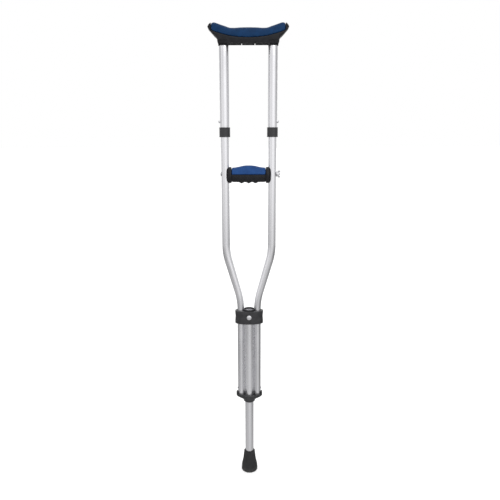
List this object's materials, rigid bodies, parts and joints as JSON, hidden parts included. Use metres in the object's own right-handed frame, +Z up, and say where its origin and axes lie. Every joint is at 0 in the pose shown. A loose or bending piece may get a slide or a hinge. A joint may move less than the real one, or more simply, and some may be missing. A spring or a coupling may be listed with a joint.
{
  "type": "underarm crutch",
  "caption": "Height-adjustable aluminium underarm crutch with a padded saddle, a bolted hand grip, a telescoping leg and a rubber tip.",
  "frame": {"origin": "on the floor, under the middle of the rubber tip", "axes": "+Z up along the crutch, +X across the two uprights towards the wing nut, -Y is the front, where the leg's lock knob is"},
  "size_m": [0.2092, 0.0514, 1.293],
  "materials": {
    "aluminium_tube": "satin anodised",
    "zinc_steel": "bright zinc plate",
    "spring_steel": "rolled spring strip",
    "black_plastic": "fine moulded grain",
    "saddle_black": "moulded soft rubber",
    "grip_black": "moulded soft rubber",
    "blue_pad": "skinned foam",
    "tip_rubber": "matte moulded rubber"
  },
  "bodies": {
    "frame": {"bow_left": "aluminium_tube", "bow_right": "aluminium_tube", "leg_sleeve": "aluminium_tube", "yoke_clamp": "black_plastic", "yoke_cup": "black_plastic", "clamp_rivet_left": "zinc_steel", "clamp_rivet_right": "zinc_steel", "cup_rivet_left": "zinc_steel", "cup_rivet_right": "zinc_steel", "grip_body": "grip_black", "grip_cushion": "blue_pad", "grip_bolt": "zinc_steel", "snap_spring_left": "spring_steel", "snap_spring_right": "spring_steel", "leg_lock_spring": "spring_steel"},
    "upper_section": {"saddle_base": "saddle_black", "saddle_cushion": "blue_pad", "saddle_core": "black_plastic", "saddle_pin_left": "zinc_steel", "saddle_pin_right": "zinc_steel", "upper_tube_left": "aluminium_tube", "upper_tube_right": "aluminium_tube", "collar_left": "black_plastic", "collar_right": "black_plastic"},
    "button_left": {"snap_button_left": "zinc_steel"},
    "button_right": {"snap_button_right": "zinc_steel"},
    "lock_pin": {"leg_lock_pin": "zinc_steel"},
    "leg": {"leg_tube": "aluminium_tube", "rubber_tip": "tip_rubber", "tip_washer": "zinc_steel"},
    "washer": {"grip_washer": "zinc_steel"},
    "wing_nut": {"wing_nut": "zinc_steel"}
  },
  "joints": [
    {"name": "upper_slide", "type": "slide", "parent": "frame", "child": "upper_section", "axis": [0, 0, 1], "range_m": [-0.0762, 0], "deforming": ["snap_button_left", "snap_button_right"]},
    {"name": "button_left_press", "type": "slide", "parent": "frame", "child": "button_left", "axis": [1, 0, 0], "range_m": [0, 0.0056], "stiffness_N_per_m": 900, "springref_m": -0.004, "deforming": ["snap_spring_left"]},
    {"name": "button_right_press", "type": "slide", "parent": "frame", "child": "button_right", "axis": [-1, 0, 0], "range_m": [0, 0.0056], "stiffness_N_per_m": 900, "springref_m": -0.004, "deforming": ["snap_spring_right"]},
    {"name": "lock_pin_pull", "type": "slide", "parent": "frame", "child": "lock_pin", "axis": [0, -1, 0], "range_m": [0, 0.0026], "stiffness_N_per_m": 1200, "springref_m": -0.003, "deforming": ["leg_lock_spring"]},
    {"name": "leg_slide", "type": "slide", "parent": "frame", "child": "leg", "axis": [0, 0, 1], "range_m": [0, 0.1524]},
    {"name": "washer_travel", "type": "slide", "parent": "frame", "child": "washer", "axis": [1, 0, 0], "range_m": [0, 0.004]},
    {"name": "wing_nut_spin", "type": "hinge", "parent": "washer", "child": "wing_nut", "pos_m": [0.0768, 0, 0.905], "axis": [1, 0, 0], "range_deg": [0, 1440]}
  ],
  "couplings": [
    {"joint": "washer_travel", "follows": "wing_nut_spin", "m_per_rad": 0.00015915}
  ]
}
